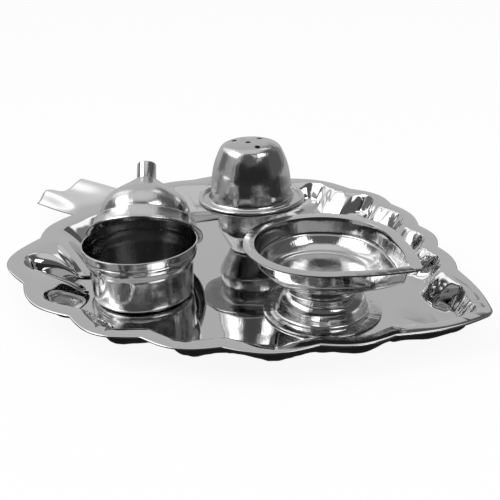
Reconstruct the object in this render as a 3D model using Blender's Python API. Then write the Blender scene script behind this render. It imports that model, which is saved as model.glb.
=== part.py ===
"""Leaf-shaped kumkum plate: a fluted steel tray with its pot and lid, incense stand and oil lamp."""
import math

import bmesh
import bpy
from mathutils import Matrix, Vector

for item in list(bpy.data.objects):
    bpy.data.objects.remove(item, do_unlink=True)

# Sizes in metres. The frame's origin is on the tray's underside, +X runs along the leaf to its tip.
gap = 0.0003
turned_sides = 32
pot_sides = 36

# Tray
tray_sheet = 0.0007
tray_depth = 0.015
flange_width = 0.0065
back_flange_width = 0.0095
valley_run = 0.0085
tip = (0.1332, 0.0062)
tip_round = 0.0045
ridge_breadth = 0.65
# From the tip to the stalk: each notch's x and y, the bulge of the lobe before it, the run of its ridge
# from the flange to the floor, and the run down the middle of the lobe before it.
front_notches = [
    (0.1082, -0.0374, 0.0038, 0.013, 0.014),
    (0.0870, -0.0635, 0.0040, 0.012, 0.015),
    (0.0548, -0.0901, 0.0058, 0.013, 0.016),
    (0.0219, -0.1055, 0.0052, 0.014, 0.017),
    (-0.0183, -0.1129, 0.0070, 0.016, 0.018),
    (-0.0650, -0.1057, 0.0067, 0.026, 0.019),
    (-0.1095, -0.0647, 0.0130, 0.024, 0.016),
    (-0.1315, -0.0337, 0.0032, 0.018, 0.013),
]
rear_notches = [
    (0.1006, 0.0394, 0.0022, 0.013, 0.014),
    (0.0793, 0.0607, 0.0026, 0.012, 0.015),
    (0.0565, 0.0830, 0.0040, 0.013, 0.016),
    (0.0250, 0.1065, 0.0040, 0.014, 0.017),
    (-0.0121, 0.1169, 0.0060, 0.016, 0.018),
    (-0.0640, 0.1080, 0.0074, 0.026, 0.019),
    (-0.1140, 0.0680, 0.0130, 0.024, 0.016),
    (-0.1330, 0.0360, 0.0030, 0.018, 0.013),
]
stalk_side_run = 0.014
lobe_steps = 8
wall_bands = 6
stalk_length = 0.042
stalk_half_width = 0.024
stalk_crest_rise = 0.0027
stalk_valley_drop = 0.002
stalk_edge_drop = 0.004
stalk_crest_at = 0.64
stalk_columns = 12
stalk_rows = 6

# Kumkum pot
pot_place = (-0.0307, -0.0565)
pot_wall = 0.0008
pot_rim_radius = 0.030
pot_height = 0.0298
pot_neck_height = 0.0046
pot_neck_radius = 0.0293
pot_bead_height = 0.003
pot_bead_radius = 0.0289
pot_shoulder_drop = 0.005
pot_body_radius = 0.027
pot_base_radius = 0.0264
pot_base_round = 0.0035

# Pot lid, leaned against the pot
lid_wall = 0.0008
lid_lip_radius = 0.032
lid_mouth_radius = 0.030
lid_lip_height = 0.0016
lid_band_height = 0.0083
lid_band_radius = 0.0265
lid_dome_height = 0.0338
lid_top_radius = 0.0062
lid_lean = math.radians(41.1)
lid_away = math.radians(130.3)
lid_sideways = -0.0011
lid_floor_gap = 0.0008
knob_radius = 0.0054
knob_height = 0.0098
knob_round = 0.0008

# Incense stand
stand_place = (-0.0242, 0.0261)
cup_wall = 0.0008
cup_base_radius = 0.0140
cup_cone_radius = 0.0203
cup_cone_height = 0.0137
cup_neck_radius = 0.0190
cup_height = 0.0319
stand_flange_radius = 0.0307
cap_wall = 0.0008
cap_height = 0.0350
cap_foot_radius = 0.0249
cap_side_radius = 0.0238
cap_top_radius = 0.0145
cap_bead = 0.0014
stick_hole_radius = 0.0016
stick_holes = ((-0.0011, -0.0009), (-0.0106, -0.0035), (-0.0011, 0.0101), (0.0081, -0.0029))

# Oil lamp
lamp_place = (0.0541, -0.0138)
bowl_wall = 0.0008
bowl_radius = 0.0389
bowl_rim_width = 0.005
bowl_rim_height = 0.0362
bowl_wall_height = 0.0095
bowl_wall_lean = 0.0021
bowl_dish_drop = 0.0066
bowl_dish_radius = 0.0225
spout_reach = 0.0515
spout_round = 0.0045
spout_side_bulge = 0.0012
foot_wall = 0.0008
foot_flange_radius = 0.0297
foot_dome_radius = 0.0224
foot_dome_height = 0.0115
foot_waist_radius = 0.0170
foot_top_radius = 0.0125


def steel(name, grey, roughness):
    """Return a polished steel material."""
    material = bpy.data.materials.new(name)
    material.use_nodes = True
    shader = material.node_tree.nodes["Principled BSDF"]
    shader.inputs["Base Color"].default_value = (grey, grey, grey * 1.01, 1)
    shader.inputs["Metallic"].default_value = 1
    shader.inputs["Roughness"].default_value = roughness
    material.diffuse_color = (grey, grey, grey * 1.01, 1)
    return material


def finish(name, bm, material, place=(0, 0, 0), crease=35):
    """Turn a bmesh into a named, smooth-shaded object."""
    mesh = bpy.data.meshes.new(name)
    bm.to_mesh(mesh)
    bm.free()
    mesh.shade_smooth()
    mesh.set_sharp_from_angle(angle=math.radians(crease))
    mesh.materials.append(material)
    obj = bpy.data.objects.new(name, mesh)
    obj.location = place
    bpy.context.collection.objects.link(obj)
    return obj


def thicken(obj, wall):
    """Give an open sheet its wall, on the side away from its normals."""
    modifier = obj.modifiers.new("wall", "SOLIDIFY")
    modifier.thickness = wall
    modifier.offset = -1
    modifier.use_even_offset = True
    modifier.use_quality_normals = True
    return obj


def arc(centre, radius, start, end, steps):
    """Return points on an arc, both ends included, with angles in degrees."""
    points = []
    for k in range(steps + 1):
        a = math.radians(start + (end - start) * k / steps)
        points.append((centre[0] + radius * math.cos(a), centre[1] + radius * math.sin(a)))
    return points


def flow(a, b, start_dir, end_dir, steps, pull=0.4):
    """Return points on a smooth bend from a to b that leaves and arrives in the given directions."""
    span = math.dist(a, b) * pull
    p = (a[0] + start_dir[0] * span, a[1] + start_dir[1] * span)
    q = (b[0] - end_dir[0] * span, b[1] - end_dir[1] * span)
    points = []
    for k in range(1, steps + 1):
        t = k / steps
        w = ((1 - t) ** 3, 3 * t * (1 - t) ** 2, 3 * t * t * (1 - t), t ** 3)
        points.append(tuple(w[0] * a[i] + w[1] * p[i] + w[2] * q[i] + w[3] * b[i] for i in (0, 1)))
    return points


def spin_profile(profile, sides, pole_up):
    """Spin a radius-height profile that starts or ends on the axis, with the pole facing up or down."""
    bm = bmesh.new()
    verts = [bm.verts.new((r, 0, z)) for r, z in profile]
    edges = [bm.edges.new(pair) for pair in zip(verts, verts[1:])]
    bmesh.ops.spin(bm, geom=verts + edges, cent=(0, 0, 0), axis=(0, 0, 1), dvec=(0, 0, 0),
                   angle=math.tau, steps=sides, use_merge=True, use_duplicate=False)
    bmesh.ops.remove_doubles(bm, verts=bm.verts[:], dist=0.00001)
    bmesh.ops.recalc_face_normals(bm, faces=bm.faces[:])
    pole = min(bm.faces, key=lambda face: face.calc_center_median().xy.length)
    if (pole.normal.z > 0) != pole_up:
        bmesh.ops.reverse_faces(bm, faces=bm.faces[:])
    return bm


def lobe_point(a, b, bulge, t):
    """Return the point at t along a lobe from notch a to notch b, bulging to the right of its chord."""
    across = Vector((b[1] - a[1], a[0] - b[0])).normalized()
    return Vector(a).lerp(Vector(b), t) + across * bulge * math.sin(math.pi * t)


def leaf_outline():
    """Return the leaf's outline: point, share of ridge, ridge's run, lobe's run and if the stalk is there."""
    # The outline goes from the tip along the rear side, past the stalk and back along the front side.
    stations = []
    for notches, turn in ((rear_notches, 1), (front_notches, -1)):
        side = [tip + (0, notches[0][3], 0)] + notches
        run = []
        for k in range(1, len(side)):
            a, b = side[k - 1], side[k]
            for j in range(lobe_steps):
                t = j / lobe_steps
                if k == 1:
                    start = tip_round / math.dist(a[:2], b[:2])
                    t = start + (1 - start) * t
                ridge = ((1 + math.cos(math.tau * t)) / 2) ** ridge_breadth
                if k == 1 and t < 0.5:
                    ridge = 0
                point = lobe_point(a[:2], b[:2], b[2] * turn, t)
                run.append((point, ridge, a[3] + (b[3] - a[3]) * t, b[4], False))
        run.append((Vector(side[-1][:2]), 1, side[-1][3], side[-1][4], True))
        stations.append(run)
    rear_run, front_run = stations
    root = []
    a, b = rear_notches[-1], front_notches[-1]
    for k in range(1, stalk_columns):
        t = k / stalk_columns
        ridge = ((1 + math.cos(math.tau * t)) / 2) ** ridge_breadth
        root.append((Vector(a[:2]).lerp(Vector(b[:2]), t), ridge, a[3], stalk_side_run, True))
    corner = []
    p, q = front_run[0][0], rear_run[0][0]
    for k in range(1, 4):
        t = k / 4
        point = p * (1 - t) ** 2 + Vector(tip) * 2 * t * (1 - t) + q * t * t
        corner.append((point, 0, front_notches[0][3], front_notches[0][4], False))
    return rear_run + root + front_run[::-1] + corner


def spoke(point):
    """Return the direction in which the wall runs inward from a point of the outline."""
    stops = ((-0.130, -0.035), (-0.020, -0.015), (0.020, -0.011), (0.055, 0.0), (0.087, 0.040), (0.108, 0.085),
             (0.133, 0.100))
    aim = stops[0][1]
    for (x0, a0), (x1, a1) in zip(stops, stops[1:]):
        if point.x >= x0:
            t = min(1, (point.x - x0) / (x1 - x0))
            aim = a0 + (a1 - a0) * t
    return (Vector((aim, 0)) - point).normalized()


def stalk_height(across, along):
    """Return how far the corrugated stalk stands above the flange."""
    v = abs(across)
    if v < stalk_crest_at:
        lift = (1 - math.cos(math.pi * v / stalk_crest_at)) / 2
        height = -stalk_valley_drop + (stalk_crest_rise + stalk_valley_drop) * lift
    else:
        fall = math.sin(math.pi / 2 * (v - stalk_crest_at) / (1 - stalk_crest_at)) ** 2
        height = stalk_crest_rise - (stalk_crest_rise + stalk_edge_drop) * fall
    return height * math.sin(math.pi / 2 * min(1, along * 1.3))


# Tray: rings of the leaf's outline run down from the flange to the floor, and a strip makes the stalk.
bm = bmesh.new()
rim_z = tray_sheet + tray_depth
outline = leaf_outline()
rings = []
for band in range(-1, wall_bands + 1):
    ring = []
    for index, (point, ridge, ridge_run, lobe_run, stalk) in enumerate(outline):
        before = outline[index - 1][0]
        after = outline[(index + 1) % len(outline)][0]
        along = (after - before).normalized()
        inward = spoke(point)
        square = max(0.6, abs(along.x * inward.y - along.y * inward.x))
        back = min(1, max(0, (-0.060 - point.x) / 0.050))
        flange = (flange_width + (back_flange_width - flange_width) * back) / square
        if band < 0:
            ring.append(bm.verts.new((point.x, point.y, rim_z)))
            continue
        q = band / wall_bands
        scoop = valley_run * q + (lobe_run - valley_run) * max(0, (q - 0.6) / 0.4) ** 1.5
        reach = scoop * (1 - ridge) + ridge_run * q ** 0.75 * ridge
        place = point + inward * (flange + reach)
        height = tray_sheet + tray_depth * (1 + math.cos(math.pi * q)) / 2
        ring.append(bm.verts.new((place.x, place.y, height)))
    rings.append(ring)
for outer, inner in zip(rings, rings[1:]):
    for k in range(len(outer)):
        n = (k + 1) % len(outer)
        bm.faces.new((outer[k], outer[n], inner[n], inner[k]))
bm.faces.new(rings[-1])
root = [k for k, station in enumerate(outline) if station[4]]
row = [rings[0][k] for k in root]
half_root = (row[0].co.y - row[-1].co.y) / 2
middle = (row[0].co.y + row[-1].co.y) / 2
for j in range(1, stalk_rows + 1):
    along = j / stalk_rows
    half = stalk_half_width + (half_root - stalk_half_width) * (1 - along) ** 2
    new_row = []
    for k, first in enumerate(root):
        across = 1 - 2 * k / (len(root) - 1)
        start = rings[0][first].co
        new_row.append(bm.verts.new((start.x - stalk_length * along, middle + half * across,
                                     rim_z + stalk_height(across, along))))
    for k in range(len(row) - 1):
        bm.faces.new((row[k], new_row[k], new_row[k + 1], row[k + 1]))
    row = new_row
bmesh.ops.recalc_face_normals(bm, faces=bm.faces[:])
if sum(face.normal.z * face.calc_area() for face in bm.faces) < 0:
    bmesh.ops.reverse_faces(bm, faces=bm.faces[:])
tray = thicken(finish("tray", bm, steel("tray_steel", 0.72, 0.05)), tray_sheet)

# Kumkum pot: a spun cup with a rounded base, a soft shoulder, a bead and a neck.
seat = tray_sheet + gap
neck_z = pot_height - pot_neck_height
bead_z = neck_z - pot_bead_height
shoulder_z = bead_z - pot_shoulder_drop
profile = [(0, 0)] + arc((pot_base_radius - pot_base_round, pot_base_round), pot_base_round, -90, 0, 3)
profile += [(pot_body_radius, shoulder_z)]
profile += flow((pot_body_radius, shoulder_z), (pot_bead_radius, bead_z), (0, 1), (0.35, 0.94), 3)
profile += [(pot_neck_radius, bead_z + 0.3 * pot_bead_height), (pot_neck_radius, neck_z - 0.0004)]
profile += [(pot_neck_radius - 0.0003, neck_z), (pot_neck_radius, neck_z + 0.0006)]
profile += [(pot_rim_radius, pot_height)]
bm = spin_profile(profile, pot_sides, False)
pot = thicken(finish("pot", bm, steel("pot_steel", 0.68, 0.09), pot_place + (seat,)), pot_wall)

# Lid: it stands on the far edge of its lip and leans with its mouth over the pot's rim.
rim_above = pot_height + gap
lip_centre = lid_lip_radius * math.sin(lid_lean) + lid_floor_gap
up_slope = (rim_above - lip_centre) / math.sin(lid_lean)
mouth = lid_mouth_radius - lid_wall - gap
half_chord = math.sqrt(max(0, mouth ** 2 - up_slope ** 2))
behind = math.sqrt(max(0, (pot_rim_radius + gap) ** 2 - half_chord ** 2)) + up_slope * math.cos(lid_lean)
away = Vector((math.cos(lid_away), math.sin(lid_away)))
aside = Vector((away.y, -away.x))
spot = Vector(pot_place) + away * behind + aside * lid_sideways
lid_seat = bpy.data.objects.new("lid_seat", None)
lid_seat.location = (spot.x, spot.y, tray_sheet + lip_centre)
lid_seat.rotation_euler = (0, lid_lean, lid_away)
bpy.context.collection.objects.link(lid_seat)

profile = [(0, lid_dome_height), (lid_top_radius, lid_dome_height)]
profile += flow((lid_top_radius, lid_dome_height), (lid_band_radius - 0.0007, lid_band_height + 0.004),
                (0.74, -0.67), (0.06, -1), 7, 0.4)
profile += [(lid_band_radius - 0.0004, lid_band_height + 0.0008), (lid_band_radius, lid_band_height)]
profile += [(lid_mouth_radius - 0.0003, lid_lip_height + 0.0015), (lid_mouth_radius, lid_lip_height)]
profile += [(lid_mouth_radius + 0.0003, lid_wall), (lid_lip_radius, lid_wall)]
bm = spin_profile(profile, turned_sides, True)
lid_shell = thicken(finish("lid_shell", bm, steel("lid_steel", 0.72, 0.05)), lid_wall)
lid_shell.parent = lid_seat

knob_foot = lid_dome_height + gap
profile = [(0, knob_foot), (knob_radius, knob_foot)]
profile += arc((knob_radius - knob_round, knob_foot + knob_height - knob_round), knob_round, 0, 90, 2)
profile += [(0, knob_foot + knob_height)]
bm = spin_profile(profile, 28, False)
bmesh.ops.recalc_face_normals(bm, faces=bm.faces[:])
lid_knob = finish("lid_knob", bm, steel("knob_steel", 0.72, 0.06))
lid_knob.parent = lid_seat

# Incense stand: a flared cup, and a perforated dome that rests mouth down on the cup's flange.
stand = stand_place + (seat,)
profile = [(0, 0)] + arc((cup_base_radius - 0.0015, 0.0015), 0.0015, -90, -25, 2)
profile += [(cup_cone_radius - 0.0006, cup_cone_height - 0.0014), (cup_cone_radius, cup_cone_height + 0.001)]
flange_under = cup_height - cup_wall
profile += flow((cup_cone_radius, cup_cone_height + 0.001), (cup_neck_radius, flange_under - 0.0035),
                (0, 1), (-0.15, 0.99), 3)
profile += arc((cup_neck_radius + 0.0035, flange_under - 0.0035), 0.0035, 180, 90, 3)[1:]
profile += [(stand_flange_radius, flange_under)]
bm = spin_profile(profile, turned_sides, False)
incense_cup = thicken(finish("incense_cup", bm, steel("cup_steel", 0.7, 0.06), stand), cup_wall)

cap_seat = (stand[0], stand[1], seat + cup_height + gap)
shoulder = (cap_top_radius, cap_height - 0.0017)
corner = (cap_top_radius + 0.0042, cap_height - 0.0061)
profile = [(0, cap_height)]
profile += flow((0, cap_height), shoulder, (1, 0), (0.93, -0.37), 2, 0.33)
profile += flow(shoulder, corner, (0.93, -0.37), (0.42, -0.91), 3)
profile += flow(corner, (cap_side_radius, 0.0124), (0.42, -0.91), (0.1, -1), 4)
profile += [(cap_foot_radius - 0.0004, 0.0065 + cap_wall)]
profile += flow((cap_foot_radius - 0.0004, 0.0065 + cap_wall), (cap_foot_radius + 0.0026, cap_wall),
                (0.08, -1), (1, 0), 3, 0.45)
profile += [(stand_flange_radius - 2 * cap_bead, cap_wall)]
profile += arc((stand_flange_radius - cap_bead, cap_wall), cap_bead, 180, 0, 4)[1:]
bm = spin_profile(profile, turned_sides, True)
incense_cap = finish("incense_cap", bm, steel("cap_steel", 0.72, 0.05), cap_seat)
thicken(incense_cap, cap_wall)
bm = bmesh.new()
for x, y in stick_holes:
    bmesh.ops.create_cone(bm, cap_ends=True, segments=12, radius1=stick_hole_radius, radius2=stick_hole_radius,
                          depth=0.016, matrix=Matrix.Translation((x, y, cap_height)))
drill = finish("stick_hole_drill", bm, incense_cap.data.materials[0], cap_seat)
drill.hide_render = True
drill.display_type = "WIRE"
cut = incense_cap.modifiers.new("stick holes", "BOOLEAN")
cut.operation = "DIFFERENCE"
cut.solver = "EXACT"
cut.object = drill


def drop_ring(bm, inset, z):
    """Return a ring of the lamp bowl's drop outline, set in from its rim."""
    # The sides run with a slight bulge from the round back to the small round of the spout's tip.
    radius = bowl_radius - inset
    round_in = max(spout_round - inset, 0.0008)
    tip_centre = spout_reach - spout_round
    lean = math.acos((bowl_radius - spout_round) / tip_centre)
    centre = (radius - round_in) / math.cos(lean)
    points = []
    for k in range(5):
        a = -lean + 2 * lean * k / 4
        points.append((centre + round_in * math.cos(a), round_in * math.sin(a)))
    side = ((centre + round_in * math.cos(lean), round_in * math.sin(lean)),
            (radius * math.cos(lean), radius * math.sin(lean)))
    out = (math.cos(lean), math.sin(lean))
    edge = []
    for k in range(1, 6):
        swell = spout_side_bulge * math.sin(math.pi * k / 6)
        edge.append(tuple(side[0][i] + (side[1][i] - side[0][i]) * k / 6 + out[i] * swell for i in (0, 1)))
    points += edge
    for k in range(31):
        a = lean + (math.tau - 2 * lean) * k / 30
        points.append((radius * math.cos(a), radius * math.sin(a)))
    points += [(x, -y) for x, y in reversed(edge)]
    return [bm.verts.new((x, y, z)) for x, y in points]


def round_ring(bm, radius, z, like):
    """Return a round ring with as many points as a drop ring, spread as evenly as its outline is."""
    ring = []
    for vert in like:
        a = math.atan2(vert.co.y, vert.co.x)
        ring.append(bm.verts.new((radius * math.cos(a), radius * math.sin(a), z)))
    return ring


# Oil lamp: a drop-shaped bowl with a flat rim and a straight-sided spout, on a spun two-tier foot.
lamp = lamp_place + (seat,)
bm = bmesh.new()
wall_foot = bowl_rim_height - bowl_wall_height
dish_z = wall_foot - bowl_dish_drop
rings = [drop_ring(bm, 0, bowl_rim_height), drop_ring(bm, bowl_rim_width, bowl_rim_height)]
rings.append(drop_ring(bm, bowl_rim_width + 0.0008, bowl_rim_height - 0.001))
rings.append(drop_ring(bm, bowl_rim_width + bowl_wall_lean, wall_foot + 0.0008))
rings.append(drop_ring(bm, bowl_rim_width + bowl_wall_lean + 0.0014, wall_foot))
edge = rings[-1]
circle = round_ring(bm, bowl_dish_radius + 0.001, dish_z + 0.0006, rings[0])
for t in (0.35, 0.7):
    z = wall_foot - (bowl_dish_drop - 0.0006) * (1 - (1 - t) ** 2)
    rings.append([bm.verts.new((a.co.x + (b.co.x - a.co.x) * t, a.co.y + (b.co.y - a.co.y) * t, z))
                  for a, b in zip(edge, circle)])
rings.append(circle)
rings.append(round_ring(bm, bowl_dish_radius, dish_z, rings[0]))
for outer, inner in zip(rings, rings[1:]):
    for k in range(len(outer)):
        n = (k + 1) % len(outer)
        bm.faces.new((outer[k], outer[n], inner[n], inner[k]))
bm.faces.new(rings[-1])
bmesh.ops.recalc_face_normals(bm, faces=bm.faces[:])
if sum(face.normal.z for face in bm.faces) < 0:
    bmesh.ops.reverse_faces(bm, faces=bm.faces[:])
diya_bowl = thicken(finish("diya_bowl", bm, steel("bowl_steel", 0.72, 0.06), lamp), bowl_wall)

foot_top = dish_z - bowl_wall - gap
profile = [(0, foot_top), (foot_top_radius, foot_top)]
profile += flow((foot_top_radius, foot_top), (foot_waist_radius - 0.0003, foot_dome_height + 0.0008),
                (0.9, -0.43), (0.25, -0.97), 4)
profile += [(foot_waist_radius + 0.0003, foot_dome_height)]
profile += flow((foot_waist_radius + 0.0003, foot_dome_height), (foot_dome_radius, 0.0024),
                (0.85, -0.53), (0.1, -1), 5)
profile += [(foot_dome_radius + 0.0012, 0.0012), (foot_dome_radius + 0.0025, foot_wall)]
profile += [(foot_flange_radius, foot_wall)]
bm = spin_profile(profile, turned_sides, True)
diya_foot = thicken(finish("diya_foot", bm, steel("foot_steel", 0.7, 0.05), lamp), foot_wall)
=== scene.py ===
import math

import bmesh
import bpy
from mathutils import Matrix, Vector, noise


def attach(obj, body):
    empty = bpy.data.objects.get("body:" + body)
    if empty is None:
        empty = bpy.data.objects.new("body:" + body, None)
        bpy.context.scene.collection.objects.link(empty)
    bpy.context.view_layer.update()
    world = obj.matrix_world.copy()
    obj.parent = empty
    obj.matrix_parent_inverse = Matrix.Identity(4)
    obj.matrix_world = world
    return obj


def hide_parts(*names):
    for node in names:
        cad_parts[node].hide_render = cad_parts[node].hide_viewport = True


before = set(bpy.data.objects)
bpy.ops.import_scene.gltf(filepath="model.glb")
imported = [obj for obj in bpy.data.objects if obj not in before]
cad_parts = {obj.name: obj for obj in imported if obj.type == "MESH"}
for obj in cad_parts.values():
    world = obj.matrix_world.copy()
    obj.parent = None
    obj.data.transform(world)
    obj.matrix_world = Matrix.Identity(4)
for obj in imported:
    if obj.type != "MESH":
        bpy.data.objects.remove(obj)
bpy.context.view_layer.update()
scene = bpy.context.scene
scene.view_settings.view_transform = "Standard"
print("frame loaded")


# Camera, studio and floor
cameraSet = {
    # place in metres, angles in degrees, lens and sensor in millimetres
    "place": (0.2262, -0.2717, 0.1682),
    "heading": 130.3,     # from +X, seen from above
    "tiltDown": 23.59,
    "roll": 1.42,
    "lens": 49.95,
    "sensor": 36.0,
    "clipStart": 0.01,
}


def photoCamera():
    heading = math.radians(cameraSet["heading"])
    tilt = math.radians(cameraSet["tiltDown"])
    roll = math.radians(cameraSet["roll"])
    ahead = Vector((math.cos(heading) * math.cos(tilt), math.sin(heading) * math.cos(tilt), -math.sin(tilt)))
    level = Vector((math.sin(heading), -math.cos(heading), 0))
    upright = level.cross(ahead)
    right = level * math.cos(roll) - upright * math.sin(roll)
    up = upright * math.cos(roll) + level * math.sin(roll)
    data = bpy.data.cameras.new("photoCamera")
    data.lens = cameraSet["lens"]
    data.sensor_width = cameraSet["sensor"]
    data.clip_start = cameraSet["clipStart"]
    camera = bpy.data.objects.new("photoCamera", data)
    turn = Matrix((right, up, -ahead)).transposed().to_4x4()
    turn.translation = Vector(cameraSet["place"])
    camera.matrix_world = turn
    scene.collection.objects.link(camera)
    scene.camera = camera


photoCamera()

studio = {
    "roomGlow": 0.03,     # brightness where no panel lies
    # what polished metal sees around it: name, degrees to the right of the camera's heading, degrees above
    # the horizon, brightness and softness of the edges in degrees, each laid over the ones before it
    "panels": [
        ("leftWall", (-92, -58), (-20, 27), 0.20, 8),
        ("leftDoor", (-128, -92), (-20, 27), 0.45, 9),
        ("rightWall", (58, 122), (-20, 30), 0.12, 12),
        ("upperBack", (-181, 181), (29, 95), 0.13, 7),
        ("backdrop", (-58, 34), (-20, 63), 0.63, 4),
        ("backdropSide", (34, 60), (-20, 63), 0.28, 9),
        ("darkGap", (14, 45), (29.5, 44), 0.12, 4),
        ("ceiling", (-181, 181), (64, 95), 0.80, 9),
        ("leftSheet", (-134, -60), (28, 62), 1.7, 7),
        ("backLeftSheet", (-54, -37), (22, 56), 1.5, 6),
        ("backRightSheet", (25, 42), (46, 62), 1.5, 6),
    ],
    "boxes": [
        # name, degrees to the right of the camera's heading, degrees up, distance, width, height, watts
        ("rightBox", 135.0, 47.0, 1.1, 0.48, 0.36, 1.6),
        ("leftBox", -100.0, 45.0, 1.2, 0.60, 0.50, 2.2),
    ],
    # the table as the metal sees it, a glow painted in place of its light and shade: brightness on the
    # camera's side, low as painted shade, and behind the tray, high as painted light, and where the one
    # blends into the other, in metres ahead of the origin
    "tableNear": 0.04,
    "tableFar": 0.50,
    "tableTurn": 0.12,
    "tableBlend": 0.3,
    # the floor as the camera sees it
    "floorColour": 0.86,
    "floorGlow": 1.03,
    "floorGlowShare": 0.9,
    "floorHalf": 3.0,
    "floorBelow": 0.0002,
}


def mathNode(tree, operation, a, b=None):
    node = tree.nodes.new("ShaderNodeMath")
    node.operation = operation
    for k, value in enumerate((a, b)):
        if value is None:
            continue
        if isinstance(value, (int, float)):
            node.inputs[k].default_value = value
        else:
            tree.links.new(value, node.inputs[k])
    return node.outputs[0]


def edgeNode(tree, value, edge, soft):
    # 0 below the edge, 1 above it
    node = tree.nodes.new("ShaderNodeMapRange")
    node.interpolation_type = "SMOOTHSTEP"
    node.inputs["From Min"].default_value = edge - soft / 2
    node.inputs["From Max"].default_value = edge + soft / 2
    tree.links.new(value, node.inputs["Value"])
    return node.outputs["Result"]


def studioWorld():
    world = bpy.data.worlds.new("studio")
    world.use_nodes = True
    scene.world = world
    tree = world.node_tree
    tree.nodes.clear()
    out = tree.nodes.new("ShaderNodeOutputWorld")
    path = tree.nodes.new("ShaderNodeLightPath")
    room = tree.nodes.new("ShaderNodeBackground")
    white = tree.nodes.new("ShaderNodeBackground")
    white.inputs["Color"].default_value = (1, 1, 1, 1)
    white.inputs["Strength"].default_value = 1
    mix = tree.nodes.new("ShaderNodeMixShader")
    tree.links.new(path.outputs["Is Camera Ray"], mix.inputs[0])
    tree.links.new(room.outputs[0], mix.inputs[1])
    tree.links.new(white.outputs[0], mix.inputs[2])
    tree.links.new(mix.outputs[0], out.inputs[0])
    coords = tree.nodes.new("ShaderNodeTexCoord")
    turn = tree.nodes.new("ShaderNodeMapping")
    turn.vector_type = "POINT"
    turn.inputs["Rotation"].default_value = (0, 0, math.radians(-cameraSet["heading"]))
    tree.links.new(coords.outputs["Generated"], turn.inputs["Vector"])
    parts = tree.nodes.new("ShaderNodeSeparateXYZ")
    tree.links.new(turn.outputs[0], parts.inputs[0])
    # now x is straight ahead of the camera and y to its left
    aside = mathNode(tree, "ARCTAN2", mathNode(tree, "MULTIPLY", parts.outputs["Y"], -1), parts.outputs["X"])
    aside = mathNode(tree, "DEGREES", aside)
    height = mathNode(tree, "DEGREES", mathNode(tree, "ARCSINE", parts.outputs["Z"]))
    glow = None
    for name, across, up, light, soft in studio["panels"]:
        share = mathNode(tree, "SUBTRACT", edgeNode(tree, aside, across[0], soft),
                         edgeNode(tree, aside, across[1], soft))
        rise = mathNode(tree, "SUBTRACT", edgeNode(tree, height, up[0], soft),
                        edgeNode(tree, height, up[1], soft))
        share = mathNode(tree, "MULTIPLY", share, rise)
        mixed = tree.nodes.new("ShaderNodeMix")
        mixed.label = name
        tree.links.new(share, mixed.inputs[0])
        if glow is None:
            mixed.inputs[2].default_value = studio["roomGlow"]
        else:
            tree.links.new(glow, mixed.inputs[2])
        mixed.inputs[3].default_value = light
        glow = mixed.outputs[0]
    tree.links.new(glow, room.inputs["Strength"])
    room.inputs["Color"].default_value = (1, 1, 1, 1)


def softBoxes():
    heading = math.radians(cameraSet["heading"])
    for name, aside, up, distance, width, height, watts in studio["boxes"]:
        data = bpy.data.lights.new(name, "AREA")
        data.shape = "RECTANGLE"
        data.size = width
        data.size_y = height
        data.energy = watts
        lamp = bpy.data.objects.new(name, data)
        turn = heading - math.radians(aside)
        rise = math.radians(up)
        spot = Vector((math.cos(turn) * math.cos(rise), math.sin(turn) * math.cos(rise), math.sin(rise)))
        lamp.location = spot * distance
        lamp.rotation_euler = spot.to_track_quat("Z", "Y").to_euler()
        scene.collection.objects.link(lamp)


def paleFloor():
    bm = bmesh.new()
    bmesh.ops.create_grid(bm, x_segments=1, y_segments=1, size=studio["floorHalf"])
    mesh = bpy.data.meshes.new("floor")
    bm.to_mesh(mesh)
    bm.free()
    floor = bpy.data.objects.new("floor", mesh)
    floor.location.z = -studio["floorBelow"]
    scene.collection.objects.link(floor)
    material = bpy.data.materials.new("paleFloor")
    material.use_nodes = True
    tree = material.node_tree
    tree.nodes.clear()
    out = tree.nodes.new("ShaderNodeOutputMaterial")
    matt = tree.nodes.new("ShaderNodeBsdfDiffuse")
    matt.inputs["Color"].default_value = (studio["floorColour"],) * 3 + (1,)
    glow = tree.nodes.new("ShaderNodeEmission")
    glow.inputs["Strength"].default_value = studio["floorGlow"]
    path = tree.nodes.new("ShaderNodeLightPath")
    mix = tree.nodes.new("ShaderNodeMixShader")
    share = mathNode(tree, "MULTIPLY", path.outputs["Is Camera Ray"], studio["floorGlowShare"])
    tree.links.new(share, mix.inputs[0])
    tree.links.new(matt.outputs[0], mix.inputs[1])
    tree.links.new(glow.outputs[0], mix.inputs[2])
    # in the metal the table is a painted glow: painted shade on the camera's side and painted light behind
    # the tray
    coords = tree.nodes.new("ShaderNodeTexCoord")
    turn = tree.nodes.new("ShaderNodeMapping")
    turn.inputs["Rotation"].default_value = (0, 0, math.radians(-cameraSet["heading"]))
    tree.links.new(coords.outputs["Object"], turn.inputs["Vector"])
    parts = tree.nodes.new("ShaderNodeSeparateXYZ")
    tree.links.new(turn.outputs[0], parts.inputs[0])
    behind = edgeNode(tree, parts.outputs["X"], studio["tableTurn"], studio["tableBlend"])
    light = mathNode(tree, "MULTIPLY", behind, studio["tableFar"] - studio["tableNear"])
    seen = tree.nodes.new("ShaderNodeEmission")
    tree.links.new(mathNode(tree, "ADD", light, studio["tableNear"]), seen.inputs["Strength"])
    whole = tree.nodes.new("ShaderNodeMixShader")
    tree.links.new(path.outputs["Is Glossy Ray"], whole.inputs[0])
    tree.links.new(mix.outputs[0], whole.inputs[1])
    tree.links.new(seen.outputs[0], whole.inputs[2])
    tree.links.new(whole.outputs[0], out.inputs[0])
    mesh.materials.append(material)


studioWorld()
softBoxes()
paleFloor()
print("studio ready")


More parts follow.
